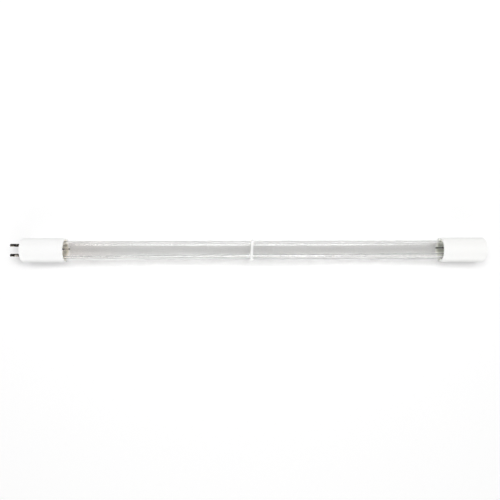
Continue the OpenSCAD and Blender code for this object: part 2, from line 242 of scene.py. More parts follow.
# A node tree in the making: node() adds any node from its type, its settings (set first) and its sockets.
class Finish:
    def __init__(self, name, owner=None):
        self.owner = owner or bpy.data.materials.new(name)
        self.owner.use_nodes = True
        self.tree = self.owner.node_tree
        self.tree.nodes.clear()

    def node(self, kind, settings=None, sockets=None, output=0):
        made = self.tree.nodes.new(kind)
        for key, value in (settings or {}).items():
            if key == "stops":
                ramp = made.color_ramp.elements
                while len(ramp) < len(value):
                    ramp.new(0.5)
                for stop, (place, colour) in zip(ramp, value):
                    stop.position, stop.color = place, (*colour, 1)
            else:
                setattr(made, key, value)
        for key, value in (sockets or {}).items():
            if isinstance(value, Mask):
                self.tree.links.new(value.socket, made.inputs[key])
            elif made.inputs[key].type == "RGBA" and len(value) == 3:
                made.inputs[key].default_value = (*value, 1)
            else:
                made.inputs[key].default_value = value
        return Mask(self, made.outputs[output]) if made.outputs else None

    def spot(self):
        return self.node("ShaderNodeTexCoord", output="Object")

    def place(self, scale=(1, 1, 1)):
        return self.node("ShaderNodeMapping", {}, {"Vector": self.spot(), "Scale": scale})

    def axis(self, vector, name):
        return self.node("ShaderNodeSeparateXYZ", {}, {0: vector}, name)

    def ray(self, kind):
        return self.node("ShaderNodeLightPath", output="Is %s Ray" % kind)

    def noise(self, vector, scale, detail=3.0, roughness=0.5):
        return self.node("ShaderNodeTexNoise", {},
                         {"Vector": vector, "Scale": scale, "Detail": detail, "Roughness": roughness})

    def blend(self, amount, a, b):
        return self.node("ShaderNodeMix", {"data_type": "RGBA"}, {0: amount, 6: a, 7: b}, 2)

    def ramp(self, value, stops):
        return self.node("ShaderNodeValToRGB", {"stops": stops}, {0: value})

    def spread(self, value, low, high):
        return self.node("ShaderNodeMapRange", {}, {"Value": value, "From Min": low, "From Max": high})

    def bump(self, height, strength, distance):
        return self.node("ShaderNodeBump", {}, {"Height": height, "Strength": strength, "Distance": distance})

    def principled(self, sockets):
        return self.node("ShaderNodeBsdfPrincipled", {}, sockets)

    def passing(self, colour):
        return self.node("ShaderNodeBsdfTransparent", {}, {"Color": colour})

    def mixed(self, amount, a, b):
        return self.node("ShaderNodeMixShader", {}, {0: amount, 1: a, 2: b})

    def done(self, shader, target="ShaderNodeOutputMaterial"):
        self.node(target, {}, {"Surface": shader})
        return self.owner


def dress(objects, material):
    for each in objects:
        each.data.materials.clear()
        each.data.materials.append(material)


camera = {"lens": 35.27, "sensor": 36.0, "place": (0.1719, 0.0, 0.3945), "shift": 0.0258, "roll": -0.0013,
          "nearest": 0.01}

view = bpy.data.cameras.new("camera")
view.lens, view.sensor_width, view.shift_x = camera["lens"], camera["sensor"], camera["shift"]
view.clip_start = camera["nearest"]
viewer = bpy.data.objects.new("camera", view)
viewer.location, viewer.rotation_euler = camera["place"], (0, 0, camera["roll"])
bpy.context.scene.collection.objects.link(viewer)
bpy.context.scene.camera = viewer
bpy.context.scene.view_settings.view_transform = "Standard"

# Two soft keys high up on the picture's upper side, one towards each end, and a wide low fill on its lower side.
# A share is the level that a lamp alone gives a white level surface. With the world's they come to about 1.1,
# near the level at which a colour renders as written.
softboxes = {
    "keyNearBase": {"from": (-0.32, 0.34, 1.0), "distance": 1.1, "size": (0.62, 0.34), "share": 0.285},
    "keyNearEnd": {"from": (0.32, 0.34, 1.0), "distance": 1.1, "size": (0.62, 0.34), "share": 0.285},
    "lowFill": {"from": (0.0, -0.93, 0.375), "distance": 0.9, "size": (1.30, 0.34), "share": 0.085},
}

for name, box in softboxes.items():
    towards = mathutils.Vector(box["from"]).normalized()
    softbox = bpy.data.lights.new(name, "AREA")
    softbox.shape = "RECTANGLE"
    softbox.size, softbox.size_y = box["size"]
    softbox.energy = box["share"] * math.pi ** 2 * box["distance"] ** 2 / towards.z
    boxPiece = bpy.data.objects.new(name, softbox)
    boxPiece.location = mathutils.Vector((middle, 0, 0)) + towards * box["distance"]
    boxPiece.rotation_euler = towards.to_track_quat("Z", "Y").to_euler()
    boxPiece.visible_glossy = boxPiece.visible_transmission = False
    bpy.context.scene.collection.objects.link(boxPiece)

# The world is white to the camera and even as a light. Mirrored and refracted rays see panels in it, each of
# which fades in between two values of the direction.
around = {
    "share": 0.45,
    "sides": 0.9,
    "zenith": 0.12, "zenithFrom": (0.72, 0.92),              # a dull patch overhead, as round a camera on a stand
    "farDrop": 0.7, "farFrom": (0.3, 0.8),                   # duller towards the picture's upper side
    "lowHorizon": 7.0, "lowFrom": (-0.88, -0.97),            # a bright strip low down on its lower side
    "ends": 40.0, "endsFrom": (0.60, 0.80),                  # refracted rays alone: light for the cement in the mouths
}

world = bpy.data.worlds.new("studio")
bpy.context.scene.world = world
sky = Finish("studio", world)
seenDirect = sky.ray("Camera")
through = sky.ray("Transmission")
seenMirror = sky.ray("Glossy").greater(through)
direction = sky.node("ShaderNodeTexCoord", output="Generated")
overhead = sky.spread(sky.axis(direction, "Z"), *around["zenithFrom"]).clamped()
acrossY = sky.axis(direction, "Y")
lowHorizon = sky.spread(acrossY, *around["lowFrom"]).clamped()
farSide = sky.spread(acrossY, *around["farFrom"]).clamped()
ends = sky.spread(sky.axis(direction, "X").absolute(), *around["endsFrom"]).clamped()
sides = (around["sides"] - farSide * around["farDrop"] + lowHorizon * around["lowHorizon"]
         + through * ends * around["ends"])
mirrored = sides + overhead * (around["zenith"] - sides)
strength = seenDirect + (1.0 - seenDirect) * (seenMirror * mirrored + (1.0 - seenMirror) * around["share"])
sky.done(sky.node("ShaderNodeBackground", {}, {"Color": (1, 1, 1), "Strength": strength}), "ShaderNodeOutputWorld")

floor = {
    "height": -9.75,
    "reach": 1.6,
    "seenShade": 0.97,                   # to the camera: nearly white, with the lamp's shadow
    "seenGlow": 0.03,
    "farGlow": (0.40, 1.20),             # distances between which it turns all white, so that no horizon shows
    "otherShade": 0.74,                  # to all other rays
    "mirrorGlow": 4.0,                   # a strip that mirrored rays alone see, on the picture's lower side
    "mirrorFrom": (-0.045, -0.07),
}

corners = np.array([[-1, -1], [1, -1], [1, 1], [-1, 1]]) * floor["reach"]
ground = bpy.data.meshes.new("floor")
ground.from_pydata([(x + middle, y, floor["height"] * mm) for x, y in corners], [], [(0, 1, 2, 3)])
groundPiece = bpy.data.objects.new("floor", ground)
bpy.context.scene.collection.objects.link(groundPiece)


# Diffuse floor with two faces: one with a far glow for camera rays, one with the mirrored strip for the rest.
def paleFloor():
    mix = Finish("paleFloor")

    def lit(shade, glow):
        matt = mix.node("ShaderNodeBsdfDiffuse", {}, {"Color": (shade,) * 3})
        light = mix.node("ShaderNodeEmission", {}, {"Color": (1, 1, 1), "Strength": glow})
        return mix.node("ShaderNodeAddShader", {}, {0: matt, 1: light})

    distance = mix.node("ShaderNodeVectorMath", {"operation": "DISTANCE"}, {0: mix.spot(), 1: (middle, 0, 0)}, "Value")
    far = mix.spread(distance, *floor["farGlow"]).clamped()
    reflected = (mix.ray("Glossy") - mix.ray("Transmission")).clamped()
    strip = mix.spread(mix.axis(mix.spot(), "Y"), *floor["mirrorFrom"]).clamped() * reflected * floor["mirrorGlow"]
    return mix.done(mix.mixed(mix.ray("Camera"), lit(floor["otherShade"], strip),
                              lit(floor["seenShade"], floor["seenGlow"] + far)))


dress([groundPiece], paleFloor())
print("stage: camera, light and floor")


cap = {
    "bore": 8.54, "r": 9.74, "edge": 0.4, "lip": 0.18, "innerEdge": 0.5,
    "cols": 256, "faceRows": 70, "wallRows": 24,
    "wave": 0.012,                       # depth of the unevenness of the outside
    "holeR": 1.31, "holeBevel": 0.22, "holeDip": 0.7,
}


# Outline from the middle of the outer face round the wall and into the bore, turned about X.
# Each pin hole is a dip of the face, a smooth step of the distance to the pin's axis.
def capPart(holes):
    length, r, b, wall = lamp["capLength"], cap["r"], cap["bore"], lamp["endWall"]
    outline = filleted([(0, r - 1), (0, r), (length, r), (length, b), (wall, b), (wall, 0.3)],
                       [0, cap["edge"], cap["edge"], cap["lip"], cap["innerEdge"], 0])
    split = np.argmax(outline[:, 0] > cap["edge"] + 0.01)     # first point past the outer edge
    wallX = np.linspace(outline[split - 1, 0], outline[split, 0], cap["wallRows"] + 2)[1:-1]
    walls = np.stack([wallX, np.full(len(wallX), r)], -1)
    faceR = np.linspace(0.14, r - cap["edge"] - 0.02, cap["faceRows"])
    face = np.stack([np.zeros(len(faceR)), faceR], -1)
    rings = revolved(np.concatenate([face, outline[1:split], walls, outline[split:]]), cap["cols"])
    if holes:
        dipped = rings[:cap["faceRows"]]
        for y in (1, -1):
            for z in (1, -1):
                away = np.hypot(dipped[..., 1] - y * lamp["pinSpanY"] / 2, dipped[..., 2] - z * lamp["pinSpanZ"] / 2)
                step = np.clip((cap["holeR"] + cap["holeBevel"] - away) / cap["holeBevel"], 0, 1)
                dipped[..., 0] += cap["holeDip"] * eased(step)
    angle = np.arctan2(rings[..., 2], rings[..., 1])
    dip = cap["wave"] * (1 + uneven(3 * angle, rings[..., 0] / 9, 4)) / 2
    outer = (np.hypot(rings[..., 1], rings[..., 2]) > r - 0.3) & (rings[..., 0] > 1)
    rings[..., 1:] *= (1 - np.where(outer, dip, 0) / r)[..., None]
    return ringPart(rings, (0, 0, 0), (wall, 0, 0))


baseCap = piece("baseCapBody", [capPart(True)], ["base_cap"])
endCap = piece("endCapBody", [atEnd(capPart(False))], ["end_cap"])


# Glazed steatite: a cloudy tone under a fine grain, with a few grey specks.
def steatite(name, white):
    mix = Finish(name)
    where = mix.place()
    cloud = mix.noise(where, 90.0, 4.0)
    grain = mix.noise(where, 2600.0, 3.0, 0.6)
    speck = mix.spread(mix.noise(where, 1500.0, 2.0), 0.70, 0.80).clamped()
    tone = mix.ramp(cloud * 0.6 + grain * 0.4, [(0.3, [c * 0.985 for c in white]), (0.7, white)])
    return mix.done(mix.principled({
        "Base Color": mix.blend(speck * 0.2, tone, (0.72, 0.70, 0.64)),
        "Roughness": 0.42 + grain * 0.16,
        "IOR": 1.55,
        "Normal": mix.bump(grain, 0.25, 0.00005),
    }))


dress([baseCap], steatite("whiteSteatite", (0.97, 0.97, 0.965)))
dress([endCap], steatite("warmSteatite", (0.965, 0.965, 0.95)))
print("stage: caps")


quartz = {
    "rows": 120, "cols": 176,
    "pinchHalf": 1.5, "rimHalf": 2.0,    # half thickness of the pinch, in its web and at its rims
    "rimFrom": 3.9, "rimRise": 1.2, "pinchZ": 7.3,
    "fillX": 21.7,                       # where the pinch has its full form
    "wave": 0.006, "waveFrom": 34,       # unevenness of the skins, and where it starts
    "stemR": 1.3, "stemX": 10.1, "channelR": 0.5, "channelX": 11.4,
}


# Outer skin: round along the tube, and towards each end it passes into the pinch.
# The share w of the pinch goes from 0 at roundX to 1 at fillX, and mixes the two sections.
def quartzSkin():
    length, cols, fillX, roundX = lamp["length"], quartz["cols"], quartz["fillX"], lamp["roundX"]
    end = np.concatenate([np.linspace(lamp["pinchX"], fillX, 8), np.linspace(fillX, roundX, 26)[1:]])
    along = np.linspace(roundX, length - roundX, quartz["rows"])[1:-1]
    x = np.concatenate([end, along, length - end[::-1]])[:, None]
    a = fullTurn(cols)
    near = np.minimum(x, length - x)
    t = np.clip((near - fillX) / (roundX - fillX), 0, 1)
    w = 1 - np.sqrt(np.clip(1 - (1 - t) ** 2.2, 0, 1)) * t ** 0.35
    r = lamp["tubeR"] - quartz["wave"] * (1 + uneven(x / 110, 2 * a, 8)) / 2 * (near > quartz["waveFrom"])
    z = r * np.sin(a) * (1 - w) + quartz["pinchZ"] * np.sin(a) * w
    rim = np.clip((np.abs(z) - quartz["rimFrom"]) / quartz["rimRise"], 0, 1)
    half = quartz["pinchHalf"] + (quartz["rimHalf"] - quartz["pinchHalf"]) * eased(rim)
    flat = half * np.sign(np.cos(a)) * np.abs(np.cos(a)) ** 0.28
    y = r * np.cos(a) * (1 - w) + flat * w
    rings = np.stack([x + 0 * a, y, z], -1)
    # the flat end of the far pinch, and the melted-off stem on it
    s = np.linspace(0, np.pi / 2, 9)[:-1]
    stemX = np.concatenate([[lamp["pinchX"]], quartz["stemX"] + quartz["stemR"] * (1 - np.sin(s))])
    stemR = np.concatenate([[quartz["stemR"]], quartz["stemR"] * np.cos(s)])
    stem = revolved(np.stack([length - stemX, stemR], -1), cols)
    return ringPart(np.concatenate([rings, stem]), (lamp["pinchX"], 0, 0), (length - quartz["stemX"], 0, 0))


# Inner skin: a rounded dome at each end, and the fine channel of the stem at the far one.
def quartzBore():
    length, r, cavityX, roundX = lamp["length"], lamp["boreR"], lamp["cavityX"], lamp["roundX"]
    s = np.linspace(0, 1, 14)[1:]
    domeX = roundX - (roundX - cavityX) * np.cos(s * np.pi / 2)
    domeR = r * np.sin(s * np.pi / 2)
    wideX = np.linspace(roundX, length - roundX, quartz["rows"])[1:-1]
    outline = np.stack([np.concatenate([domeX, wideX, length - domeX[::-1]]),
                        np.concatenate([domeR, np.full(len(wideX), r), domeR[::-1]])], -1)
    rings = revolved(outline, quartz["cols"])
    angle = np.arctan2(rings[..., 2], rings[..., 1])
    inner = (outline[:, 0] > quartz["waveFrom"]) & (outline[:, 0] < length - quartz["waveFrom"])
    swell = quartz["wave"] * uneven(rings[..., 0] / 120, 2 * angle, 21) * inner[:, None]
    rings[..., 1:] *= (1 + swell / r)[..., None]
    channelR, channelEnd = quartz["channelR"], length - quartz["channelX"]
    channel = revolved(np.array([(length - cavityX, channelR), (channelEnd, channelR)]), quartz["cols"])
    return insideOut(ringPart(np.concatenate([rings, channel]), (cavityX, 0, 0), (channelEnd, 0, 0)))


tube = piece("quartzEnvelope", [quartzSkin(), quartzBore()], ["quartz_tube"])


# Fused quartz: clear with a grey cast, fine draw lines along X, warmer near the base where emitter has settled, and
# painted shade towards its edges, where the skin is seen at a grazing angle.
def fusedQuartz():
    mix = Finish("fusedQuartz")
    lines = mix.noise(mix.place((0.03, 1, 1)), 900.0, 2.0)
    wide = mix.noise(mix.place((1, 60, 60)), 3.0, 2.0)
    along = mix.axis(mix.spot(), "X")
    settled = (1.0 - mix.spread(along, 0.045, 0.085).clamped()) * 0.8
    tint = mix.blend(settled, (0.950, 0.950, 0.945), (0.960, 0.932, 0.920))
    grazed = mix.spread(mix.node("ShaderNodeLayerWeight", {}, {"Blend": 0.5}, "Facing"), 0.25, 0.80).clamped()
    glass = mix.principled({
        # painted shade: the tint goes darker where the skin is seen at a grazing angle, at the tube's edges
        "Base Color": mix.blend(grazed * 0.4, mix.blend(wide, tint, (0.97, 0.97, 0.965)), (0.70, 0.70, 0.69)),
        "Roughness": 0.015 + lines * 0.02,
        "IOR": 1.46,
        "Transmission Weight": 1.0,
        "Normal": mix.bump(wide * 0.7 + lines * 0.3, 0.08, 0.0001),
    })
    # What is left of a shadow ray at each skin: less at a grazing angle, and nearly all near both mouths,
    # so that light gets to the cement. Set for the look of the shadow and of the glass.
    mouths = mix.spread((along - middle).absolute(), 0.134, 0.144).clamped()
    faced = mix.mixed(mouths, mix.passing((0.78, 0.78, 0.775)), mix.passing((0.99, 0.99, 0.985)))
    clear = mix.mixed(grazed, faced, mix.passing((0.42, 0.42, 0.415)))
    return mix.done(mix.mixed(mix.ray("Shadow"), glass, clear))


dress([tube], fusedQuartz())
print("stage: quartz tube")


pin = {
    "out": 9.3, "r": 1.175, "nose": 0.7, "shankR": 1.27,
    "collarR": 1.75, "collar": 0.8,
    "cupR": 0.95, "cup": 2.6, "boreR": 0.32,
    "crimpWidth": 1.2, "crimpDepth": 0.22,
    "cols": 48, "shaftRows": 70, "cupRows": 24,
    "wear": 0.012,
}


# Outline from the round tip over shaft, shank and collar to the cup behind, turned about X;
# in the middle of the cup |z| is held under the crimp's flats.
def pinPart(y, z):
    out, r, wall, nose = pin["out"], pin["r"], lamp["endWall"], pin["nose"]
    end = wall + pin["collar"]
    mouth = end + pin["cup"]
    s = np.linspace(0, np.pi / 2, 9)[1:]
    front = np.stack([np.full(4, -out), np.linspace(0.08, r - nose, 4)], -1)
    tip = np.stack([-out + nose * (1 - np.cos(s)), r - nose + nose * np.sin(s)], -1)
    shaft = np.stack([np.linspace(-out + nose + 0.1, -0.1, pin["shaftRows"]), np.full(pin["shaftRows"], r)], -1)
    collar = filleted([(0, r), (0, pin["shankR"]), (wall, pin["shankR"]), (wall, pin["collarR"]),
                       (end, pin["collarR"]), (end, pin["cupR"]), (end + 0.2, pin["cupR"])],
                      [0, 0.04, 0.04, 0.12, 0.12, 0.1, 0])
    cup = np.stack([np.linspace(end + 0.25, mouth - 0.2, pin["cupRows"]), np.full(pin["cupRows"], pin["cupR"])], -1)
    bore = filleted([(mouth - 0.15, pin["cupR"]), (mouth, pin["cupR"]), (mouth, pin["boreR"]), (wall, pin["boreR"])],
                    [0, 0.1, 0.05, 0])
    rings = revolved(np.concatenate([front, tip, shaft, collar, cup, bore]), pin["cols"])
    x = rings[..., 0]
    pressed = np.clip((pin["crimpWidth"] / 2 + 0.1 - np.abs(x - end - pin["cup"] / 2)) / 0.2, 0, 1)
    limit = np.where(x > end + 0.15, pin["cupR"] - pin["crimpDepth"] * eased(pressed), np.inf)
    rings[..., 2] = np.clip(rings[..., 2], -limit, limit)
    angle = np.arctan2(rings[..., 2], rings[..., 1])
    worn = pin["wear"] * (1 + uneven(2 * angle, x * 1.3, 31 + int(2 * y + z))) * (x < -0.2)
    rings[..., 1:] *= (1 - worn / 2)[..., None]
    centre = [y * lamp["pinSpanY"] / 2, z * lamp["pinSpanZ"] / 2]
    rings += [0, *centre]
    return ringPart(rings, (-out, *centre), (wall, *centre))


pins = [piece("pin%d" % (i + 1), [pinPart(y, z)], ["contact_pin_%d" % (i + 1)])
        for i, (y, z) in enumerate([(1, 1), (-1, 1), (-1, -1), (1, -1)])]


# Darkened nickelled brass: near-black, brown, grey and pale patches at random, partly tarnish and partly painted dark
# reflection and painted highlight.
def tarnishAndPaintedReflection():
    mix = Finish("tarnishAndPaintedReflectionBrass")
    patch = mix.noise(mix.place(), 420.0, 4.0, 0.6)
    fine = mix.noise(mix.place((0.25, 1, 1)), 2400.0, 3.0)
    return mix.done(mix.principled({
        # near-black to pale patches: partly tarnish, partly painted dark reflection and painted highlight
        "Base Color": mix.ramp(patch, [(0.42, (0.010, 0.009, 0.008)), (0.52, (0.045, 0.040, 0.035)),
                                       (0.58, (0.36, 0.32, 0.27)), (0.66, (0.80, 0.77, 0.71))]),
        "Metallic": 0.9,
        "Roughness": 0.30 + fine * 0.25,
        "Normal": mix.bump(patch * 0.5 + fine * 0.5, 0.3, 0.00008),
    }))


dress(pins, tarnishAndPaintedReflection())
print("stage: pins")


cement = {"x": 24.6, "length": 9.0, "inner": 7.515, "outer": 8.53, "lump": 0.30,
          "cols": 160, "faceRows": 7, "wallRows": 16}


# A closed ring between tube and cap; the face in the mouth is lumpy by a sum of sines over angle and radius.
def cementPart(seed):
    x0, x1 = cement["x"], cement["x"] + cement["length"]
    r = np.linspace(cement["inner"], cement["outer"], cement["faceRows"])
    x = np.linspace(x0, x1, cement["wallRows"])
    outline = np.concatenate([
        np.stack([np.full(len(r), x0), r], -1),
        np.stack([x, np.full(len(x), cement["outer"])], -1)[1:-1],
        np.stack([np.full(len(r), x1), r[::-1]], -1),
        np.stack([x[::-1], np.full(len(x), cement["inner"])], -1)[1:-1],
    ])
    rings = revolved(outline, cement["cols"])
    angle = fullTurn(cement["cols"])
    lumps = uneven(7 * np.cos(angle) + 9 * np.sin(2 * angle), rings[..., 1:].sum(-1) * 2, seed, 7)
    share = (rings[..., 0] - x0) / (x1 - x0)
    rings[..., 0] += cement["lump"] * (lumps - 0.6) * share
    return ringPart(rings, wrap=True)


baseCement = piece("baseCementRing", [cementPart(3)], ["base_cement"])
endCement = piece("endCementRing", [atEnd(cementPart(12))], ["end_cement"])


# Gritty cement: a cloudy tone with the cells of its grit in tone and surface.
def cementFinish(name, light, dark):
    mix = Finish(name)
    where = mix.place()
    grit = mix.node("ShaderNodeTexVoronoi", {}, {"Vector": where, "Scale": 1500.0})
    cloud = mix.noise(where, 260.0, 5.0, 0.65)
    return mix.done(mix.principled({
        "Base Color": mix.ramp(cloud * 0.75 + grit * 0.35, [(0.30, dark), (0.62, light)]),
        "Roughness": 0.82 + cloud * 0.15,
        "Normal": mix.bump(cloud * 0.5 + grit * 0.5, 0.6, 0.00015),
    }))


dress([baseCement], cementFinish("beigeCement", (0.96, 0.93, 0.84), (0.86, 0.80, 0.68)))
dress([endCement], cementFinish("greyCement", (0.95, 0.96, 0.87), (0.84, 0.86, 0.76)))
print("stage: cement")


coil = {
    "x": 34.6, "baseY": 0.9, "endY": 1.6, "half": 2.5, "slant": 2.6, "r": 0.5, "turns": 10,
    "fineR": 0.105, "wireR": 0.038, "fineTurns": 230, "stepsPerTurn": 14,
    "tail": 3.9, "tailShare": 0.04,      # height where the straight tails end, and each one's share of the wire
    "coatR": 0.085, "coatLump": 0.35, "coatRows": 420,
}


# Points on the coil's helix, from heights along Z, and their directions off its axis:
# slanted axis + r (cos a, sin a, 0).
def helix(a, height, y):
    lean = np.clip(height / coil["half"], -1, 1) * coil["slant"] / 2
    radial = np.concatenate([np.cos(a), np.sin(a), 0 * a], -1)
    return np.array([coil["x"], y, 0]) - lean * [1, 0, 0] + coil["r"] * radial + height * [0, 0, 1], radial


# A coiled coil: the finer coil is carried on the helix, and the fine wire is carried along that.
def coilPart(y):
    u = np.linspace(0, 1, coil["fineTurns"] * coil["stepsPerTurn"])[:, None]
    tail = coil["tailShare"]
    v = np.clip((u - tail) / (1 - 2 * tail), 0, 1)
    height = (2 * v - 1) * coil["half"]
    height += (coil["tail"] - coil["half"]) * (np.clip((u - 1 + tail) / tail, 0, 1) - np.clip((tail - u) / tail, 0, 1))
    path, radial = helix(np.pi + 2 * np.pi * coil["turns"] * v, height, y)
    tangent = unit(np.gradient(path, axis=0))
    side = unit(radial - tangent * np.sum(radial * tangent, -1, keepdims=True))
    b = 2 * np.pi * coil["fineTurns"] * u
    outward = np.cos(b) * side + np.sin(b) * np.cross(tangent, side)
    return wirePart(path + coil["fineR"] * outward, coil["wireR"], 5, outward)


# Emitter left between the fine turns: a lumpy core along the same helix.
def coatPart(y):
    v = np.linspace(0.03, 0.97, coil["coatRows"])[:, None]
    path, radial = helix(np.pi + 2 * np.pi * coil["turns"] * v, (2 * v - 1) * coil["half"], y)
    lumpy = 1 + coil["coatLump"] * uneven(v[:, 0] * 160, v[:, 0] * 90, 5)
    return wirePart(path, coil["coatR"] * lumpy, 8, radial)


baseCoil = piece("baseCoil", [coilPart(coil["baseY"])], ["base_filament"])
endCoil = piece("endCoil", [atEnd(coilPart(coil["endY"]))], ["end_filament"])
baseEmitter = piece("baseEmitter", [coatPart(coil["baseY"])])
endEmitter = piece("endEmitter", [atEnd(coatPart(coil["endY"]))])

innerLead = {"lapX": 21.4, "rise": 1.0, "clampSize": 0.72, "clampWidth": 0.62, "clampPower": 0.35}


# A rounded block, a superellipsoid: p(s) is a sine or cosine to the clamp's power with its sign kept, and a point
# is x + size p(sin u), y + size p(cos u) p(cos v), z + width p(cos u) p(sin v).
def clampPart(x, y, z):
    def p(s):
        return np.sign(s) * np.abs(s) ** innerLead["clampPower"]

    size, width = innerLead["clampSize"], innerLead["clampWidth"]
    u = np.linspace(-np.pi / 2, np.pi / 2, 15)[1:-1][:, None]
    v = fullTurn(32)
    rings = np.stack([x + p(np.sin(u)) * size + 0 * v,
                      y + size * p(np.cos(u)) * p(np.cos(v)),
                      z + width * p(np.cos(u)) * p(np.sin(v))], -1)
    return ringPart(rings, (x - size, y, z), (x + size, y, z))


# Lead from its foil, straight out of the seal, over to the clamp on the coil's tail.
def innerLeadParts(side, coilY):
    z, y = side * lamp["leadPitch"] / 2, lamp["leadY"]
    tailX = coil["x"] - coil["r"] - side * coil["slant"] / 2
    bendX = lamp["cavityX"] + innerLead["rise"]
    start = np.linspace([innerLead["lapX"], y, z], [bendX - 0.1, y, z], 12)
    bend = sCurve([bendX, y, z], [tailX - 0.8, coilY, z])
    path = np.concatenate([start, bend, [[tailX - 0.2, coilY, z]]])
    return wirePart(path, lamp["leadR"], lamp["leadCols"]), clampPart(tailX, coilY, z)


innerLeads, clamps = [], []
for label, side in pair:
    nearLead, nearClamp = innerLeadParts(side, coil["baseY"])
    farLead, farClamp = innerLeadParts(side, coil["endY"])
    innerLeads.append(piece("baseInnerLead" + label.upper(), [nearLead], ["base_inner_lead_" + label]))
    innerLeads.append(piece("endInnerLead" + label.upper(), [atEnd(farLead)], ["end_inner_lead_" + label]))
    clamps.append(piece("baseClamp" + label.upper(), [nearClamp]))
    clamps.append(piece("endClamp" + label.upper(), [atEnd(farClamp)]))

foil = {"x": 15.5, "length": 7.5, "width": 2.4, "thick": 0.11, "rows": 24, "cols": 24}


# Feather-edged foil: a thin ellipse carried along X, drawn in at both ends.
def foilPart(side):
    x0, x1 = foil["x"], foil["x"] + foil["length"]
    x = np.linspace(x0, x1, foil["rows"])
    share = np.clip(np.minimum(x - x0, x1 - x) / 0.4 + 0.3, 0, 1)
    a = fullTurn(foil["cols"])
    z = side * lamp["leadPitch"] / 2
    rings = np.stack([x[:, None] + 0 * a, foil["thick"] / 2 * np.cos(a) * share[:, None],
                      z + foil["width"] / 2 * np.sin(a) * share[:, None]], -1)
    return ringPart(rings, (x0, 0, z), (x1, 0, z))


foils = []
for label, side in pair:
    foils.append(piece("baseFoil" + label.upper(), [foilPart(side)], ["base_foil_" + label]))
    foils.append(piece("endFoil" + label.upper(), [atEnd(foilPart(side))], ["end_foil_" + label]))


# A dull metal: its tone drifts between dark and pale, with fine lines along X in roughness and surface.
def metalFinish(name, dark, pale, rough):
    mix = Finish(name)
    drift = mix.noise(mix.place(), 500.0, 3.0)
    lines = mix.noise(mix.place((0.2, 1, 1)), 3000.0, 2.0)
    return mix.done(mix.principled({
        "Base Color": mix.ramp(drift, [(0.35, dark), (0.65, pale)]),
        "Metallic": 1.0,
        "Roughness": rough + lines * 0.15,
        "Normal": mix.bump(lines, 0.2, 0.00003),
    }))


# Coil whose coating is burnt off towards both ends: pale within a height of the middle, nearly black beyond it.
def coilFinish(name, coated, pale, dark):
    mix = Finish(name)
    crumbs = mix.noise(mix.place(), 2600.0, 3.0)
    height = mix.axis(mix.spot(), "Z").absolute()
    bare = mix.spread(height + crumbs * 0.0008, coated, coated + 0.0004).clamped()
    coat = mix.ramp(crumbs, [(0.35, [c * 0.55 for c in pale]), (0.62, pale)])
    return mix.done(mix.principled({
        "Base Color": mix.blend(bare, coat, dark),
        "Roughness": 0.8 - bare * 0.3,
        "Normal": mix.bump(crumbs, 0.4, 0.00003),
    }))


dress([baseCoil, baseEmitter], coilFinish("paleCoat", 0.0021, (0.72, 0.66, 0.56), (0.02, 0.02, 0.02)))
dress([endCoil, endEmitter], coilFinish("burntCoat", 0.0004, (0.12, 0.115, 0.11), (0.012, 0.012, 0.012)))
dress(innerLeads, metalFinish("nickelLead", (0.35, 0.34, 0.33), (0.60, 0.59, 0.57), 0.32))
dress(clamps, metalFinish("burntClamp", (0.008, 0.008, 0.008), (0.03, 0.028, 0.026), 0.5))
dress(foils, metalFinish("molybdenumFoil", (0.30, 0.29, 0.28), (0.46, 0.45, 0.44), 0.35))
print("stage: electrodes")


pinLead = {"endX": 4.02, "bendX": 7.7, "foilLap": 1.6}     # in the pin's cup, where it leaves it, and on the foil
splice = {
    "x": 4.3, "length": 4.0, "r": 0.95, "boreR": 0.635, "floor": 0.6, "y": 3.4, "pitch": 5.8, "cols": 40,
    "crimp": (1.3, 1.6, 2.4, 2.7), "crimpDip": 0.1,
    "leadY": 0.315, "wireY": 0.44,       # places of the lead and of the wire beside the splice's axis
    "clear": 0.3, "wireIn": 3.7,
}


# Lead from a foil out of the pinch, over to a target, and on along X to its end.
def outerLeadPart(side, target, endX):
    z, y = side * lamp["leadPitch"] / 2, lamp["leadY"]
    start = np.linspace([foil["x"] + pinLead["foilLap"], y, z], [lamp["pinchX"] - 0.2, y, z], 12)
    bend = sCurve([lamp["pinchX"] - lamp["leadR"], y, z], target)
    end = np.linspace([target[0] - 0.1, target[1], target[2]], [endX, target[1], target[2]], 12)
    return wirePart(np.concatenate([start, bend, end]), lamp["leadR"] * lamp["drawn"], lamp["leadCols"])


outerLeads = []
for label, side in pair:
    toPin = [pinLead["bendX"], lamp["pinSpanY"] / 2, side * lamp["pinSpanZ"] / 2]
    outerLeads.append(piece("baseOuterLead" + label.upper(), [outerLeadPart(side, toPin, pinLead["endX"])],
                            ["base_outer_lead_" + label]))
    toSplice = [splice["x"] + splice["length"] + splice["clear"],
                -splice["y"] + splice["leadY"], side * splice["pitch"] / 2]
    inSplice = splice["x"] + splice["floor"] + splice["clear"]
    outerLeads.append(piece("endOuterLead" + label.upper(), [atEnd(outerLeadPart(side, toSplice, inSplice))],
                            ["end_outer_lead_" + label]))


# Closed-end sleeve: outline turned about X, with a crimped neck round its middle.
def splicePart(side):
    x0, x1, r, b = splice["x"], splice["x"] + splice["length"], splice["r"], splice["boreR"]
    floorX = x0 + splice["floor"]
    neckR = r - splice["crimpDip"]
    c0, c1, c2, c3 = [x0 + s for s in splice["crimp"]]
    outline = filleted([(x0, 0.05), (x0, r), (c0, r), (c1, neckR), (c2, neckR), (c3, r), (x1, r), (x1, b),
                        (floorX, b), (floorX, 0.05)],
                       [0, 0.2, 0.1, 0.1, 0.1, 0.1, 0.08, 0.08, 0.05, 0])
    centre = (-splice["y"], side * splice["pitch"] / 2)
    return ringPart(revolved(outline, splice["cols"], centre), (x0, *centre), (floorX, *centre))


splices = [piece("endSplice" + label.upper(), [atEnd(splicePart(side))], ["end_splice_" + label])
           for label, side in pair]

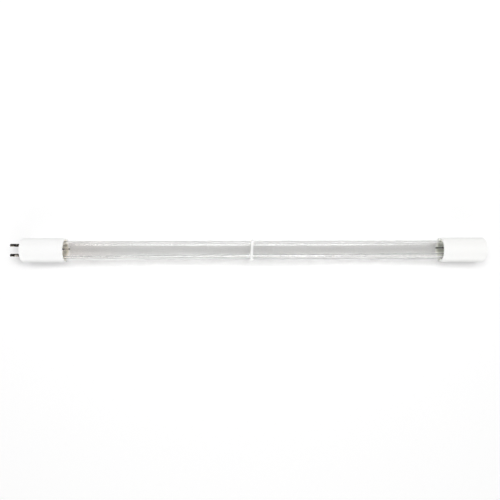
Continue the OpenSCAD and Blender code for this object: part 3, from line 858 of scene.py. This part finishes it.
wireAngles = {"a": (39.0, 22.0), "b": (66.0, 42.0)}     # degrees from +Z towards -Y, at the base and at the far end


# A point on the wires' orbit, angle from +Z towards -Y.
def onOrbit(x, angle, r):
    return np.array([x, -r * math.sin(math.radians(angle)), r * math.cos(math.radians(angle))])


# Start and end of the straight run, set out so that the wire comes down to its orbit at mid-length.
def runEnds(angles):
    base, far = angles
    r = lamp["orbit"] / math.cos(math.radians((base - far) / 2))
    return onOrbit(lamp["sleeveX"], base, r), onOrbit(lamp["length"] - lamp["sleeveX"], far, r)


# Wire from a pin's cup over to the straight run along the tube, and from its end over to the splice.
def returnWirePart(angles, side):
    p, q = runEnds(angles)
    pinEnd = np.array([pinLead["bendX"], -lamp["pinSpanY"] / 2, side * lamp["pinSpanZ"] / 2])
    spliceEnd = np.array([lamp["length"] - splice["x"] - splice["length"] - splice["clear"],
                          -splice["y"] - splice["wireY"], side * splice["pitch"] / 2])
    inPin = np.linspace([pinLead["endX"], pinEnd[1], pinEnd[2]], pinEnd, 12)[:-1]
    run = np.linspace(p, q, 60)[1:-1]
    inSplice = np.linspace(spliceEnd, spliceEnd + [splice["wireIn"], 0, 0], 8)[1:]
    path = np.concatenate([inPin, sCurve(pinEnd, p), run, sCurve(q, spliceEnd), inSplice])
    return wirePart(path, lamp["wireR"] * lamp["drawn"], 14)


sleeve = {"outer": 0.35, "inner": 0.205, "short": 0.5, "rows": 120, "cols": 28}


# A thin pipe along the run: the outer skin out and the inner skin back, closed round both ends.
def sleevePart(angles):
    p, q = runEnds(angles)
    path = np.linspace(p + sleeve["short"] * unit(q - p), q - sleeve["short"] * unit(q - p), sleeve["rows"])
    skins = [carried(path, sleeve["outer"], sleeve["cols"]), carried(path, sleeve["inner"], sleeve["cols"])[::-1]]
    return ringPart(np.concatenate(skins), wrap=True)


returnWires, sleeves = [], []
for label, side in pair:
    angles = wireAngles[label]
    returnWires.append(piece("returnWire" + label.upper(), [returnWirePart(angles, side)],
                             ["return_wire_" + label]))
    sleeves.append(piece("returnSleeve" + label.upper(), [sleevePart(angles)],
                         ["return_sleeve_" + label]))


# Fluoropolymer sleeving: clear, or milky by a share of plain white. Shadow rays pass it.
def sleeving(name, milk):
    mix = Finish(name)
    haze = mix.noise(mix.place((0.1, 1, 1)), 700.0, 3.0)
    skin = mix.principled({
        "Base Color": mix.ramp(haze, [(0.3, (0.90, 0.90, 0.885)), (0.7, (0.96, 0.96, 0.955))]),
        "Roughness": 0.08 + haze * 0.12,
        "IOR": 1.34,
        "Transmission Weight": 1.0 - milk,
    })
    return mix.done(mix.mixed(mix.ray("Shadow"), skin, mix.passing((0.85, 0.85, 0.84))))


dress(outerLeads, metalFinish("molybdenumLead", (0.22, 0.21, 0.20), (0.40, 0.39, 0.37), 0.35))
dress(returnWires, metalFinish("darkNickelWire", (0.02, 0.019, 0.018), (0.06, 0.058, 0.055), 0.45))
dress(splices, metalFinish("nickelledCrimp", (0.50, 0.49, 0.47), (0.66, 0.65, 0.62), 0.28))
dress([sleeves[0]], sleeving("clearSleeving", 0.1))
dress([sleeves[1]], sleeving("milkySleeving", 0.75))
print("stage: leads and wires")


ring = {"x": 183.7, "width": 1.8, "inner": 7.65, "outer": 8.73, "slant": -3.0,
        "edge": 0.25, "innerEdge": 0.1, "cols": 192}


# A rounded section turned about X, then the whole ring slanted about Z.
def ringBandPart():
    half = ring["width"] / 2
    outline = filleted([(-half, ring["inner"]), (-half, ring["outer"]), (half, ring["outer"]), (half, ring["inner"])],
                       [ring["innerEdge"], ring["edge"], ring["edge"], ring["innerEdge"]], 6, closed=True)
    c, s = math.cos(math.radians(ring["slant"])), math.sin(math.radians(ring["slant"]))
    turn = np.array([[c, -s, 0], [s, c, 0], [0, 0, 1]])
    return ringPart(revolved(outline, ring["cols"]) @ turn.T + [ring["x"], 0, 0], wrap=True)


band = piece("middleBand", [ringBandPart()], ["middle_ring"])
dress([band], steatite("ringSteatite", (0.97, 0.97, 0.965)))

bead = {"x": 29.5, "r": 0.5, "z": -5.98, "flat": 0.86, "rows": 26, "cols": 40}


# A drop at rest: a sphere whose underside is flattened where it lies on the glass.
def beadPart():
    x, r = bead["x"], bead["r"]
    u = np.linspace(0, np.pi, bead["rows"])[1:-1][:, None]
    v = fullTurn(bead["cols"])
    rings = np.stack([x - r * np.cos(u) + 0 * v, r * np.sin(u) * np.cos(v), r * np.sin(u) * np.sin(v)], -1)
    rings[..., 2] = bead["z"] + np.maximum(rings[..., 2], -bead["flat"] * r)
    return ringPart(rings, (x - r, 0, bead["z"]), (x + r, 0, bead["z"]))


drop = piece("mercuryDrop", [beadPart()], ["mercury_bead"])


# Liquid mercury: a mirror with a faint film in tone and roughness.
def mercuryFinish():
    mix = Finish("mercury")
    film = mix.noise(mix.place(), 1800.0, 2.0)
    return mix.done(mix.principled({
        "Base Color": mix.ramp(film, [(0.4, (0.70, 0.70, 0.71)), (0.7, (0.80, 0.80, 0.81))]),
        "Metallic": 1.0,
        "Roughness": 0.04 + film * 0.05,
    }))


dress([drop], mercuryFinish())
print("stage: ring and mercury")
